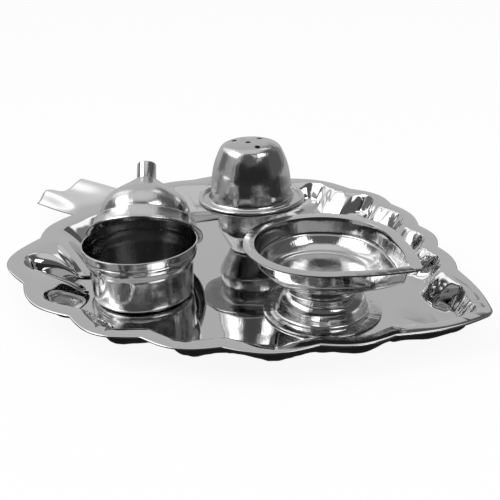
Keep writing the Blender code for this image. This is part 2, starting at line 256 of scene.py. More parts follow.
# Steel finishes
polishSet = {
    # values where a finish names none
    "plain": {"Wave": 0.3, "Wave Scale": 40.0, "Rings": 0.3, "Streaks": 0.0, "Smears": 0.02,
              "Roughness": 0.05},
    "waveDetail": 1.5,
    "ringDetail": 2,
    "ringsPerMetre": 4000,
    "ringHeight": 0.02,
    "streakDetail": 5,
    "streakRoughness": 0.6,
    "streakScale": 9,
    "streakDown": 9,
    "streakHeight": 0.1,
    "smearDetail": 4,
    "smearScale": 90,
    "bump": 0.001,
    "blueShare": 1.005,
    "drawnTurn": 0.25,    # in whole turns
}


def polishGroup():
    # the unevenness of pressed sheet and the fine rings and streaks that turning leaves, all as a height, and
    # the roughness with its smears
    group = bpy.data.node_groups.new("steelPolish", "ShaderNodeTree")
    group.interface.new_socket("Place", in_out="INPUT", socket_type="NodeSocketVector")
    for name, value in polishSet["plain"].items():
        socket = group.interface.new_socket(name, in_out="INPUT", socket_type="NodeSocketFloat")
        socket.default_value = value
    group.interface.new_socket("Height", in_out="OUTPUT", socket_type="NodeSocketFloat")
    group.interface.new_socket("Roughness", in_out="OUTPUT", socket_type="NodeSocketFloat")
    start = group.nodes.new("NodeGroupInput")
    end = group.nodes.new("NodeGroupOutput")
    wave = group.nodes.new("ShaderNodeTexNoise")
    wave.inputs["Detail"].default_value = polishSet["waveDetail"]
    group.links.new(start.outputs["Place"], wave.inputs["Vector"])
    group.links.new(start.outputs["Wave Scale"], wave.inputs["Scale"])
    parts = group.nodes.new("ShaderNodeSeparateXYZ")
    group.links.new(start.outputs["Place"], parts.inputs[0])
    square = mathNode(group, "ADD", mathNode(group, "POWER", parts.outputs["X"], 2),
                      mathNode(group, "POWER", parts.outputs["Y"], 2))
    radius = mathNode(group, "SQRT", square)
    join = group.nodes.new("ShaderNodeCombineXYZ")
    group.links.new(mathNode(group, "MULTIPLY", radius, polishSet["ringsPerMetre"]), join.inputs["X"])
    ringsDown = mathNode(group, "MULTIPLY", parts.outputs["Z"], polishSet["ringsPerMetre"])
    group.links.new(ringsDown, join.inputs["Y"])
    rings = group.nodes.new("ShaderNodeTexNoise")
    rings.inputs["Scale"].default_value = 1
    rings.inputs["Detail"].default_value = polishSet["ringDetail"]
    group.links.new(join.outputs[0], rings.inputs["Vector"])
    # streaks run from the axis outward and down the sides
    join = group.nodes.new("ShaderNodeCombineXYZ")
    group.links.new(mathNode(group, "DIVIDE", parts.outputs["X"], radius), join.inputs["X"])
    group.links.new(mathNode(group, "DIVIDE", parts.outputs["Y"], radius), join.inputs["Y"])
    streaksDown = mathNode(group, "MULTIPLY", parts.outputs["Z"], polishSet["streakDown"])
    group.links.new(streaksDown, join.inputs["Z"])
    streaks = group.nodes.new("ShaderNodeTexNoise")
    streaks.inputs["Scale"].default_value = polishSet["streakScale"]
    streaks.inputs["Detail"].default_value = polishSet["streakDetail"]
    streaks.inputs["Roughness"].default_value = polishSet["streakRoughness"]
    group.links.new(join.outputs[0], streaks.inputs["Vector"])
    low = mathNode(group, "MULTIPLY", wave.outputs[0], start.outputs["Wave"])
    fine = mathNode(group, "MULTIPLY", rings.outputs[0], start.outputs["Rings"])
    fine = mathNode(group, "MULTIPLY", fine, polishSet["ringHeight"])
    drawn = mathNode(group, "MULTIPLY", streaks.outputs[0], start.outputs["Streaks"])
    drawn = mathNode(group, "MULTIPLY", drawn, polishSet["streakHeight"])
    group.links.new(mathNode(group, "ADD", mathNode(group, "ADD", low, fine), drawn), end.inputs["Height"])
    smear = group.nodes.new("ShaderNodeTexNoise")
    smear.inputs["Scale"].default_value = polishSet["smearScale"]
    smear.inputs["Detail"].default_value = polishSet["smearDetail"]
    group.links.new(start.outputs["Place"], smear.inputs["Vector"])
    streaked = mathNode(group, "MULTIPLY", streaks.outputs[0], start.outputs["Streaks"])
    uneven = mathNode(group, "ADD", smear.outputs[0], streaked)
    extra = mathNode(group, "MULTIPLY", uneven, start.outputs["Smears"])
    group.links.new(mathNode(group, "ADD", start.outputs["Roughness"], extra), end.inputs["Roughness"])
    return group


steelPolish = polishGroup()


def steel(name, grey, finish, centre=(0, 0, 0), turn=(0, 0, 0), turned=0.0):
    # grey: how much light the metal returns; finish: values for the polish group; turned: how much its
    # turning marks draw a reflection out across them
    material = bpy.data.materials.new(name)
    material.use_nodes = True
    tree = material.node_tree
    shader = tree.nodes["Principled BSDF"]
    shader.inputs["Base Color"].default_value = (grey, grey, grey * polishSet["blueShare"], 1)
    shader.inputs["Metallic"].default_value = 1
    coords = tree.nodes.new("ShaderNodeTexCoord")
    mapping = tree.nodes.new("ShaderNodeMapping")
    mapping.vector_type = "TEXTURE"
    mapping.inputs["Location"].default_value = centre
    mapping.inputs["Rotation"].default_value = turn
    tree.links.new(coords.outputs["Object"], mapping.inputs["Vector"])
    polish = tree.nodes.new("ShaderNodeGroup")
    polish.node_tree = steelPolish
    for key, value in finish.items():
        polish.inputs[key].default_value = value
    tree.links.new(mapping.outputs[0], polish.inputs["Place"])
    bump = tree.nodes.new("ShaderNodeBump")
    bump.inputs["Distance"].default_value = polishSet["bump"]
    bump.inputs["Strength"].default_value = 1
    tree.links.new(polish.outputs["Height"], bump.inputs["Height"])
    tree.links.new(bump.outputs[0], shader.inputs["Normal"])
    tree.links.new(polish.outputs["Roughness"], shader.inputs["Roughness"])
    if turned:
        shader.inputs["Anisotropic"].default_value = turned
        shader.inputs["Anisotropic Rotation"].default_value = polishSet["drawnTurn"]
        around = tree.nodes.new("ShaderNodeVectorMath")
        around.operation = "CROSS_PRODUCT"
        around.inputs[0].default_value = (0, 0, 1)
        tree.links.new(mapping.outputs[0], around.inputs[1])
        back = tree.nodes.new("ShaderNodeMapping")
        back.vector_type = "VECTOR"
        back.inputs["Rotation"].default_value = turn
        tree.links.new(around.outputs[0], back.inputs["Vector"])
        tree.links.new(back.outputs[0], shader.inputs["Tangent"])
    return material


# Tools for turned and pressed sheet
pieceSet = {
    "mergeWithin": 0.000002,
    "crease": 30,         # degrees at which a bend is sharp
    "edgeAngle": 50,      # degrees at which an edge is bevelled
    "edgeSegments": 2,
}


def arcLine(centre, radius, start, end, steps):
    # angles in degrees, both ends included
    line = []
    for k in range(steps + 1):
        a = math.radians(start + (end - start) * k / steps)
        line.append((centre[0] + radius * math.cos(a), centre[1] + radius * math.sin(a)))
    return line


def flowLine(a, b, leave, arrive, steps, pull=0.4):
    # a smooth bend from a to b that leaves and arrives in the given directions; a itself isn't repeated
    span = math.dist(a, b) * pull
    p = (a[0] + leave[0] * span, a[1] + leave[1] * span)
    q = (b[0] - arrive[0] * span, b[1] - arrive[1] * span)
    line = []
    for k in range(1, steps + 1):
        t = k / steps
        w = ((1 - t) ** 3, 3 * t * (1 - t) ** 2, 3 * t * t * (1 - t), t ** 3)
        line.append(tuple(w[0] * a[i] + w[1] * p[i] + w[2] * q[i] + w[3] * b[i] for i in (0, 1)))
    return line


def spunSheet(line, steps, poleUp):
    # a radius-height line that starts on the axis is spun full circle
    bm = bmesh.new()
    verts = [bm.verts.new((r, 0, z)) for r, z in line]
    edges = [bm.edges.new(pair) for pair in zip(verts, verts[1:])]
    bmesh.ops.spin(bm, geom=verts + edges, cent=(0, 0, 0), axis=(0, 0, 1), dvec=(0, 0, 0),
                   angle=math.tau, steps=steps, use_merge=True, use_duplicate=False)
    bmesh.ops.remove_doubles(bm, verts=bm.verts[:], dist=pieceSet["mergeWithin"])
    bmesh.ops.recalc_face_normals(bm, faces=bm.faces[:])
    pole = min(bm.faces, key=lambda face: face.calc_center_median().xy.length)
    if (pole.normal.z > 0) != poleUp:
        bmesh.ops.reverse_faces(bm, faces=bm.faces[:])
    return bm


def makePiece(name, bm, material, body, nodes, wall=None, place=None, edge=0.00012, inside=None):
    # wall: thickness of an open sheet; place: matrix from the piece's own frame to the set's; edge: width of
    # the bevel; inside: material of the sheet's other side
    if place is not None:
        bmesh.ops.transform(bm, matrix=place, verts=bm.verts[:])
    mesh = bpy.data.meshes.new(name)
    bm.to_mesh(mesh)
    bm.free()
    mesh.materials.append(material)
    piece = bpy.data.objects.new(name, mesh)
    scene.collection.objects.link(piece)
    mesh.shade_smooth()
    mesh.set_sharp_from_angle(angle=math.radians(pieceSet["crease"]))
    if wall:
        solid = piece.modifiers.new("wall", "SOLIDIFY")
        solid.thickness = wall
        solid.offset = -1
        solid.use_even_offset = True
        solid.use_quality_normals = True
        if inside:
            mesh.materials.append(inside)
            solid.material_offset = 1
    if edge:
        bevel = piece.modifiers.new("edge", "BEVEL")
        bevel.width = edge
        bevel.segments = pieceSet["edgeSegments"]
        bevel.limit_method = "ANGLE"
        bevel.angle_limit = math.radians(pieceSet["edgeAngle"])
        bevel.harden_normals = False
    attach(piece, body)
    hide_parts(*nodes)
    return piece


def bakeModifiers(piece):
    # put the modifiers' result in the mesh
    graph = bpy.context.evaluated_depsgraph_get()
    graph.update()
    mesh = bpy.data.meshes.new_from_object(piece.evaluated_get(graph))
    piece.modifiers.clear()
    piece.data = mesh


def shift(x, y, z):
    return Matrix.Translation((x, y, z))


rest = 0.001          # underside of whatever stands on the tray's floor
turnSteps = 128

# Leaf tray
leaf = {
    "look": {"Wave": 0.35, "Wave Scale": 32.0, "Rings": 0.0, "Smears": 0.05, "Roughness": 0.015},
    "tone": (0.62, 0.62, 0.622, 1),
    "undersideLook": {"Wave": 0.6, "Wave Scale": 40.0, "Rings": 0.0, "Smears": 0.15, "Roughness": 0.22},
    # the underside's dark grey is painted shade, for the shade below the flange that the sheet's outside
    # reflects
    "undersidePaintedShadeGrey": 0.22,
    "stalkTone": (0.86, 0.86, 0.862, 1),
    "stalkDull": 0.3,
    "stalkFrom": 0.132,
    "stalkBlend": 0.016,
    "sheet": 0.0007,
    "depth": 0.015,
    "flange": 0.0065,
    "backFlange": 0.0085,
    "backFrom": -0.060,
    "backRun": 0.050,
    "valleyRun": 0.0085,
    "scoopFrom": 0.6,
    "scoopBend": 1.5,
    "wideLobe": 0.02,
    "wideLobeBend": 0.8,
    "tip": (0.1331, 0.0062),
    "tipRound": 0.0045,
    "tipSteps": 12,
    "middle": (-0.01, 0),
    # from the tip to the stalk: notch x and y, bulge of the lobe before it, ridge run, lobe run, and how much
    # the ridge is a broad tongue
    "front": [
        (0.1082, -0.0374, 0.0038, 0.013, 0.014, 0),
        (0.0870, -0.0635, 0.0040, 0.012, 0.015, 0),
        (0.0548, -0.0901, 0.0058, 0.013, 0.016, 0),
        (0.0219, -0.1055, 0.0052, 0.014, 0.017, 0),
        (-0.0183, -0.1129, 0.0069, 0.016, 0.018, 0),
        (-0.0650, -0.1057, 0.0067, 0.026, 0.019, 1),
        (-0.1095, -0.0647, 0.0130, 0.0262, 0.016, 1),
        (-0.1253, -0.0290, 0.0050, 0.020, 0.022, 0),
    ],
    "rear": [
        (0.1006, 0.0394, 0.0022, 0.013, 0.014, 0),
        (0.0793, 0.0607, 0.0026, 0.012, 0.015, 0),
        (0.0565, 0.0830, 0.0040, 0.013, 0.016, 0),
        (0.0250, 0.1065, 0.0040, 0.014, 0.017, 0),
        (-0.0121, 0.1169, 0.0060, 0.016, 0.018, 0),
        (-0.0640, 0.1080, 0.0074, 0.026, 0.019, 1),
        (-0.1140, 0.0680, 0.0130, 0.0262, 0.016, 1),
        (-0.1265, 0.0300, 0.0050, 0.020, 0.022, 0),
    ],
    # where on the leaf's axis the wall's directions aim, by the place along the leaf
    "aims": ((-0.130, -0.035), (-0.020, -0.015), (0.020, -0.011), (0.055, 0.0), (0.087, 0.040),
             (0.108, 0.085), (0.133, 0.100)),
    "leastSquare": 0.6,
    "ridgeBreadth": 1.6,
    "tongueGrowth": 5.0,
    "tongueNeck": 0.9,
    "ridgeFall": 0.75,
    "tongueFall": 0.17,
    "lobeSteps": 28,
    "wallBands": 26,
    "stalkSideRun": 0.014,
    "stalkLength": 0.0482,
    "stalkHalf": 0.024,
    "crestRise": 0.0027,
    "valleyDrop": 0.002,
    "edgeDrop": 0.004,
    "crestAt": 0.64,
    "stalkRise": 1.3,
    "stalkColumns": 48,
    "stalkRows": 24,
    "edgeRoll": 0.0004,
    "edgeRollWidth": 0.0018,
    "edgeRollBend": 1.5,
    "edgeRollBands": 4,
    "edgeRollFade": 8,
    "folds": 0.0018,
    "foldsPerMetre": 260,
    "foldsDown": 1.3,
    "foldsBend": 0.8,
    # the folds fade to the share calm at the tip and towards the stalk, and on a tongue lose calmTongue
    "calm": 0.12,
    "calmTip": (0.112, 0.02),
    "calmStalk": (-0.055, 0.03),
    "calmTongue": 0.85,
    "floorRise": 0.0005,
    "floorBlend": 0.2,
    "floorRings": 6,
}


def ridgeShare(t, breadth):
    # 1 on a notch's ridge, 0 down the middle of a lobe
    return 1 - (1 - (1 + math.cos(math.tau * t)) / 2) ** breadth


def leafOutline():
    # each station: chord, its offsets at the flange and at the floor, place between two notches (none at the
    # tip), ridge run, lobe run, tongue, how far its direction swings to the leaf's axis, on the stalk's root
    stations = []
    for notches, turn in ((leaf["rear"], 1), (leaf["front"], -1)):
        side = [leaf["tip"] + (0, notches[0][3], 0, 0)] + notches
        run = []
        for k in range(1, len(side)):
            a, b = side[k - 1], side[k]
            across = Vector((b[1] - a[1], a[0] - b[0])).normalized() * turn
            for j in range(leaf["lobeSteps"]):
                t = j / leaf["lobeSteps"]
                if k == 1:
                    start = leaf["tipRound"] / math.dist(a[:2], b[:2])
                    t = start + (1 - start) * t
                spot = None if k == 1 and t < 0.5 else t
                chord = Vector(a[:2]).lerp(Vector(b[:2]), t)
                sharp = across * b[2] * math.sin(math.pi * t)
                soft = across * b[2] * (1 - math.cos(math.tau * t)) / 2
                if k == 1 and t < 0.5:
                    soft = sharp
                # the wall swings round to run along the leaf's axis at the seventh notch, and back beyond it
                swing = {7: max(0, 2 * t - 1), 8: 1 - t}.get(k, 0)
                ridgeRun = a[3] + (b[3] - a[3]) * t
                tongue = a[5] + (b[5] - a[5]) * t
                run.append((chord, sharp, soft, spot, ridgeRun, b[4], tongue, swing, False))
        none = Vector((0, 0))
        run.append((Vector(side[-1][:2]), none, none, 0, side[-1][3], side[-1][4], 0, 0, True))
        stations.append(run)
    rearRun, frontRun = stations
    root = []
    a, b = leaf["rear"][-1], leaf["front"][-1]
    for k in range(1, leaf["stalkColumns"]):
        t = k / leaf["stalkColumns"]
        chord = Vector(a[:2]).lerp(Vector(b[:2]), t)
        root.append((chord, none, none, 0, a[3], leaf["stalkSideRun"], 0, 0, True))
    corner = []
    p = frontRun[0][0] + frontRun[0][1]
    q = rearRun[0][0] + rearRun[0][1]
    for k in range(1, leaf["tipSteps"]):
        t = k / leaf["tipSteps"]
        point = p * (1 - t) ** 2 + Vector(leaf["tip"]) * 2 * t * (1 - t) + q * t * t
        ridgeRun, lobeRun = leaf["front"][0][3:5]
        corner.append((point, none, none, None, ridgeRun, lobeRun, 0, 0, False))
    return rearRun + root + frontRun[::-1] + corner


def wallSpoke(point):
    # the direction in which the wall runs inward, to the place on the leaf's axis that aims gives
    aims = leaf["aims"]
    aim = aims[0][1]
    for (x0, a0), (x1, a1) in zip(aims, aims[1:]):
        if point.x >= x0:
            aim = a0 + (a1 - a0) * min(1, (point.x - x0) / (x1 - x0))
    return (Vector((aim, 0)) - point).normalized()


def wallDrop(q, top=0.07, foot=0.25):
    # share of the depth at q of the way down the wall, with a bend at the flange and one at the floor
    slope = 1 / (1 - (top + foot) / 2)
    if q < top:
        return slope * q * q / (2 * top)
    if q > 1 - foot:
        return 1 - slope * (1 - q) ** 2 / (2 * foot)
    return slope * (q - top / 2)


def stalkHeight(across, along):
    v = abs(across)
    if v < leaf["crestAt"]:
        lift = (1 - math.cos(math.pi * v / leaf["crestAt"])) / 2
        height = -leaf["valleyDrop"] + (leaf["crestRise"] + leaf["valleyDrop"]) * lift
    else:
        fall = math.sin(math.pi / 2 * (v - leaf["crestAt"]) / (1 - leaf["crestAt"])) ** 2
        height = leaf["crestRise"] - (leaf["crestRise"] + leaf["edgeDrop"]) * fall
    return height * math.sin(math.pi / 2 * min(1, along * leaf["stalkRise"]))


def traySteel():
    # the stalk is duller and lighter than the polished leaf
    material = steel("traySteel", leaf["tone"][0], leaf["look"])
    tree = material.node_tree
    shader = tree.nodes["Principled BSDF"]
    coords = tree.nodes.new("ShaderNodeTexCoord")
    parts = tree.nodes.new("ShaderNodeSeparateXYZ")
    tree.links.new(coords.outputs["Object"], parts.inputs[0])
    back = mathNode(tree, "MULTIPLY", parts.outputs["X"], -1)
    onStalk = edgeNode(tree, back, leaf["stalkFrom"], leaf["stalkBlend"])
    polished = shader.inputs["Roughness"].links[0].from_socket
    dull = mathNode(tree, "MULTIPLY", onStalk, leaf["stalkDull"])
    tree.links.new(mathNode(tree, "ADD", polished, dull), shader.inputs["Roughness"])
    tone = tree.nodes.new("ShaderNodeMix")
    tone.data_type = "RGBA"
    tree.links.new(onStalk, tone.inputs[0])
    tone.inputs[6].default_value = leaf["tone"]
    tone.inputs[7].default_value = leaf["stalkTone"]
    tree.links.new(tone.outputs[2], shader.inputs["Base Color"])
    return material


def leafTray():
    outline = leafOutline()
    rim = leaf["sheet"] + leaf["depth"]
    floor = leaf["sheet"] + leaf["floorRise"]
    middleSpot = Vector(leaf["middle"])
    spots = [chord + sharp for chord, sharp, *more in outline]
    bm = bmesh.new()
    loop = [bm.verts.new((p.x, p.y, rim)) for p in spots]
    edges = [bm.edges.new((loop[k], loop[(k + 1) % len(loop)])) for k in range(len(loop))]
    rootAt = [k for k, station in enumerate(outline) if station[8]]
    rootVerts = [loop[k] for k in rootAt]
    # the outer edge is rolled down, but not where the stalk begins
    away = len(rootAt) // 2
    half = len(outline) // 2
    free = []
    for k in range(len(outline)):
        steps = abs((k - rootAt[0] - away + half) % len(outline) - half) - away - 1
        free.append(min(1, max(0, steps) / leaf["edgeRollFade"]))
    for vert, share in zip(loop, free):
        vert.co.z -= leaf["edgeRoll"] * share
    # bands below 0 make the rolled edge, and the others the flange's inner edge and the wall
    for band in range(1 - leaf["edgeRollBands"], leaf["wallBands"] + 1):
        q = max(0, band) / leaf["wallBands"]
        ring = bmesh.ops.extrude_edge_only(bm, edges=edges)["geom"]
        edges = [item for item in ring if isinstance(item, bmesh.types.BMEdge)]
        fresh = {}
        for old in loop:
            for edge in old.link_edges:
                other = edge.other_vert(old)
                if other.is_valid and (other.co - old.co).length < 1e-9 and other is not old:
                    fresh[old] = other
        loop = [fresh[old] for old in loop]
        far = 0
        for k, (chord, sharp, soft, between, ridgeRun, lobeRun, tongue, swing, stalk) in enumerate(outline):
            point = chord + sharp * (1 - q) + soft * q
            before, after = spots[k - 1], spots[(k + 1) % len(spots)]
            far += (spots[k] - before).length
            along = (after - before).normalized()
            inward = wallSpoke(spots[k]).lerp(Vector((1, 0)), swing).normalized()
            square = max(leaf["leastSquare"], abs(along.x * inward.y - along.y * inward.x))
            if band < 0:
                t = (leaf["edgeRollBands"] + band) / leaf["edgeRollBands"]
                spot = point + inward * leaf["edgeRollWidth"] * t / square
                drop = leaf["edgeRoll"] * free[k] * (1 - math.sin(math.pi / 2 * t)) ** leaf["edgeRollBend"]
                loop[k].co = (spot.x, spot.y, rim - drop)
                continue
            back = min(1, max(0, (leaf["backFrom"] - point.x) / leaf["backRun"]))
            flange = (leaf["flange"] + (leaf["backFlange"] - leaf["flange"]) * back) / square
            late = max(0, (q - leaf["scoopFrom"]) / (1 - leaf["scoopFrom"])) ** leaf["scoopBend"]
            scoop = leaf["valleyRun"] * q + (lobeRun - leaf["valleyRun"]) * late
            # the wide lobe beside the stalk's root is an even slope
            if lobeRun > leaf["wideLobe"]:
                scoop = lobeRun * q ** leaf["wideLobeBend"]
            # a tongue widens towards the floor
            breadth = leaf["ridgeBreadth"] + tongue * (leaf["tongueGrowth"] * q - leaf["tongueNeck"])
            ridge = 0 if between is None else ridgeShare(between, breadth)
            fall = leaf["ridgeFall"] - leaf["tongueFall"] * tongue
            reach = scoop * (1 - ridge) + ridgeRun * q ** fall * ridge
            fold = noise.noise(Vector((far * leaf["foldsPerMetre"], q * leaf["foldsDown"], 0)))
            tipX, tipRun = leaf["calmTip"]
            stalkX, stalkRun = leaf["calmStalk"]
            calm = min(1, max(leaf["calm"], (tipX - point.x) / tipRun))
            calm *= 1 - leaf["calmTongue"] * ridge * tongue
            calm *= min(1, max(leaf["calm"], (point.x - stalkX) / stalkRun))
            reach += leaf["folds"] * calm * fold * math.sin(math.pi * q ** leaf["foldsBend"])
            spot = point + inward * (flange + reach)
            loop[k].co = (spot.x, spot.y, floor + (rim - floor) * (1 - wallDrop(q)))
    # the floor flattens out over its first stretch
    for j in range(1, leaf["floorRings"] + 1):
        ring = bmesh.ops.extrude_edge_only(bm, edges=edges)["geom"]
        edges = [item for item in ring if isinstance(item, bmesh.types.BMEdge)]
        t = j / leaf["floorRings"]
        for vert in (item for item in ring if isinstance(item, bmesh.types.BMVert)):
            shrink = 1 - leaf["floorBlend"] / leaf["floorRings"]
            vert.co.xy = (vert.co.xy - middleSpot) * shrink + middleSpot
            vert.co.z = leaf["sheet"] + leaf["floorRise"] * (1 - t) ** 2
    bmesh.ops.contextual_create(bm, geom=edges)
    row = rootVerts
    halfRoot = (row[0].co.y - row[-1].co.y) / 2
    middle = (row[0].co.y + row[-1].co.y) / 2
    starts = [vert.co.copy() for vert in row]
    rowEdges = []
    for a, b in zip(row, row[1:]):
        rowEdges.append(bm.edges.get((a, b)))
    for j in range(1, leaf["stalkRows"] + 1):
        along = j / leaf["stalkRows"]
        half = leaf["stalkHalf"] + (halfRoot - leaf["stalkHalf"]) * (1 - along) ** 2
        made = bmesh.ops.extrude_edge_only(bm, edges=rowEdges)["geom"]
        madeVerts = [item for item in made if isinstance(item, bmesh.types.BMVert)]
        rowEdges = [item for item in made if isinstance(item, bmesh.types.BMEdge)]
        madeVerts.sort(key=lambda vert: -vert.co.y)
        for k, vert in enumerate(madeVerts):
            across = 1 - 2 * k / (len(madeVerts) - 1)
            vert.co = (starts[k].x - leaf["stalkLength"] * along, middle + half * across,
                       rim + stalkHeight(across, along))
    bmesh.ops.recalc_face_normals(bm, faces=bm.faces[:])
    if sum(face.normal.z * face.calc_area() for face in bm.faces) < 0:
        bmesh.ops.reverse_faces(bm, faces=bm.faces[:])
    # the sheet's other side takes the dark underside grey: painted shade below the flange
    tray = makePiece("leafTray", bm, traySteel(), "tray", ["tray"],
                     wall=leaf["sheet"], edge=0,
                     inside=steel("undersidePaintedShadeSteel", leaf["undersidePaintedShadeGrey"], leaf["undersideLook"]))
    bakeModifiers(tray)
    # the underside is flat on the table, also where a fold would take the sheet's other side below it
    for vert in tray.data.vertices:
        vert.co.z = max(0, vert.co.z)


leafTray()
print("tray made")

# Kumkum pot
potSet = {
    "look": {"Wave": 0.5, "Wave Scale": 90.0, "Rings": 0.5, "Streaks": 1.6, "Smears": 0.08,
             "Roughness": 0.04},
    "insideLook": {"Wave": 0.1, "Wave Scale": 60.0, "Rings": 1.0, "Streaks": 1.0, "Smears": 0.10,
                   "Roughness": 0.16},
    # the inside's grey, half the outside's, is painted shade in the pot's hollow
    "grey": 0.6, "turned": 0.5, "insidePaintedShadeGrey": 0.3, "insideTurned": 0.8,
    "place": (-0.0307, -0.0565), "wall": 0.0008, "rim": 0.030, "height": 0.0298, "neckHeight": 0.0046,
    "neck": 0.0293, "beadHeight": 0.003, "bead": 0.0289, "shoulder": 0.005, "body": 0.027, "base": 0.0264,
    "baseRound": 0.0035,
    # the groove under the neck: its depth, and how far below and above it the neck has its full width
    "groove": 0.0003, "grooveBelow": 0.0004, "grooveAbove": 0.0005,
}


def kumkumPot():
    p = potSet
    neckZ = p["height"] - p["neckHeight"]
    beadZ = neckZ - p["beadHeight"]
    shoulderZ = beadZ - p["shoulder"]
    line = [(0, 0)] + arcLine((p["base"] - p["baseRound"], p["baseRound"]), p["baseRound"], -90, 0, 14)
    line += flowLine(line[-1], (p["body"], shoulderZ), (0.02, 1), (0.04, 1), 6)
    line += flowLine((p["body"], shoulderZ), (p["bead"], beadZ), (0, 1), (0.35, 0.94), 12)
    line += flowLine((p["bead"], beadZ), (p["neck"], neckZ - p["grooveBelow"]), (0.3, 0.95), (0.05, 1), 6)
    line += [(p["neck"] - p["groove"], neckZ), (p["neck"], neckZ + p["grooveAbove"])]
    line += flowLine(line[-1], (p["rim"], p["height"]), (0.1, 1), (0.2, 1), 6)
    bm = spunSheet(line, turnSteps, False)
    centre = p["place"] + (rest,)
    makePiece("kumkumPot", bm, steel("potSteel", p["grey"], p["look"], centre, turned=p["turned"]), "pot",
              ["pot"], wall=p["wall"], place=shift(*centre),
              # the inside takes the darker grey: painted shade in the hollow
              inside=steel("potInsidePaintedShadeSteel", p["insidePaintedShadeGrey"], p["insideLook"], centre,
                           turned=p["insideTurned"]))


kumkumPot()
print("pot made")

# Pot lid, leaned on the pot
lidSet = {
    "look": {"Wave": 0.5, "Wave Scale": 85.0, "Rings": 0.4, "Streaks": 1.6, "Smears": 0.10,
             "Roughness": 0.07},
    "knobLook": {"Wave": 0.0, "Wave Scale": 60.0, "Rings": 0.8, "Smears": 0.06, "Roughness": 0.06},
    "grey": 0.62, "turned": 0.4,
    "wall": 0.0008, "lip": 0.032, "mouth": 0.030, "lipHeight": 0.0016, "bandHeight": 0.0083, "band": 0.0262,
    "shoulder": 0.0281, "domeHeight": 0.0338, "top": 0.0062, "lean": 41.1, "away": 130.3, "sideways": -0.0011,
    "knob": 0.0054, "knobHeight": 0.0098, "knobRound": 0.0008, "gap": 0.0003, "floorGap": 0.0008,
    # where one bend passes into the next, as far from the size that is named there
    "domeIn": 0.0009, "domeUp": 0.003, "bandOut": 0.0001, "bandUp": 0.0002, "shoulderDown": 0.0007,
    "mouthIn": 0.0005, "mouthUp": 0.0008, "lipOut": 0.0006,
}


def lidFrame():
    # the lid stands on the far edge of its lip with its mouth over the pot's rim
    lean = math.radians(lidSet["lean"])
    gap = lidSet["gap"]
    centre = lidSet["lip"] * math.sin(lean) + lidSet["floorGap"]
    upSlope = (potSet["height"] + gap - centre) / math.sin(lean)
    mouth = lidSet["mouth"] - lidSet["wall"] - gap
    halfChord = math.sqrt(mouth ** 2 - upSlope ** 2)
    behind = math.sqrt((potSet["rim"] + gap) ** 2 - halfChord ** 2) + upSlope * math.cos(lean)
    turn = math.radians(lidSet["away"])
    away = Vector((math.cos(turn), math.sin(turn)))
    aside = Vector((away.y, -away.x))
    spot = Vector(potSet["place"]) + away * behind + aside * lidSet["sideways"]
    matrix = Matrix.Rotation(turn, 4, "Z") @ Matrix.Rotation(lean, 4, "Y")
    matrix.translation = (spot.x, spot.y, leaf["sheet"] + centre)
    return matrix, (0, lean, turn)


def potLid():
    s = lidSet
    place, turn = lidFrame()
    centre = tuple(place.translation)
    line = [(0, s["domeHeight"]), (s["top"], s["domeHeight"])]
    domeFoot = (s["band"] - s["domeIn"], s["bandHeight"] + s["domeUp"])
    bandFoot = (s["band"] + s["bandOut"], s["bandHeight"] + s["bandUp"])
    shoulderTop = (s["shoulder"], s["bandHeight"] - s["shoulderDown"])
    shoulderFoot = (s["mouth"] - s["mouthIn"], s["lipHeight"] + s["mouthUp"])
    line += flowLine(line[-1], domeFoot, (0.74, -0.67), (0.04, -1), 30, 0.4)
    line += flowLine(domeFoot, bandFoot, (0.04, -1), (1, -0.1), 6, 0.5)
    line += flowLine(bandFoot, shoulderTop, (1, -0.1), (0.1, -1), 6, 0.5)
    line += flowLine(shoulderTop, shoulderFoot, (0.1, -1), (0.3, -0.95), 6)
    line += flowLine(line[-1], (s["mouth"], s["lipHeight"]), (0.3, -0.95), (0.4, -0.92), 3)
    line += flowLine(line[-1], (s["mouth"] + s["lipOut"], s["wall"]), (0.4, -0.92), (1, 0), 3)
    line += [(s["lip"], s["wall"])]
    bm = spunSheet(line, turnSteps, True)
    makePiece("lidShell", bm, steel("lidSteel", s["grey"], s["look"], centre, turn, s["turned"]), "lid",
              ["lid_shell"], wall=s["wall"], place=place)
    foot = s["domeHeight"] + s["gap"]
    top = foot + s["knobHeight"]
    line = [(0, foot), (s["knob"], foot)]
    line += arcLine((s["knob"] - s["knobRound"], top - s["knobRound"]), s["knobRound"], 0, 90, 6) + [(0, top)]
    bm = spunSheet(line, turnSteps // 2, False)
    bmesh.ops.recalc_face_normals(bm, faces=bm.faces[:])
    makePiece("lidKnob", bm, steel("knobSteel", s["grey"], s["knobLook"], centre, turn), "lid",
              ["lid_knob"], place=place, edge=0)


potLid()
print("lid made")

# Incense stand
standSet = {
    "look": {"Wave": 0.6, "Wave Scale": 75.0, "Rings": 0.3, "Streaks": 2.2, "Smears": 0.05,
             "Roughness": 0.035},
    "cupGrey": 0.55, "cupTurned": 0.3, "capGrey": 0.6, "capTurned": 0.25,
    "place": (-0.0242, 0.0261), "wall": 0.0008, "base": 0.0140, "cone": 0.0203, "coneHeight": 0.0137,
    "neck": 0.0190, "cupHeight": 0.0307, "flange": 0.0311, "capHeight": 0.0350, "capFoot": 0.0241,
    "capSide": 0.0230, "capTop": 0.0142, "bead": 0.0014, "gap": 0.0003, "hole": 0.0016, "drillLength": 0.016,
    "holes": ((-0.0078, -0.0051), (0.0021, -0.0044), (0.0018, 0.0062), (0.0105, -0.0063)), "holeSteps": 32,
    # the cup's bends: at its base, from the cone to the side, and under the flange
    "baseRound": 0.0015, "coneIn": 0.0006, "coneDown": 0.0014, "coneUp": 0.001, "flareRound": 0.0035,
    # the cap's bends, from its top to its foot
    "topDown": 0.0017, "cornerOut": 0.0042, "cornerDown": 0.0061, "sideHeight": 0.0124, "footIn": 0.0004,
    "footHeight": 0.0065, "footOut": 0.0026,
}


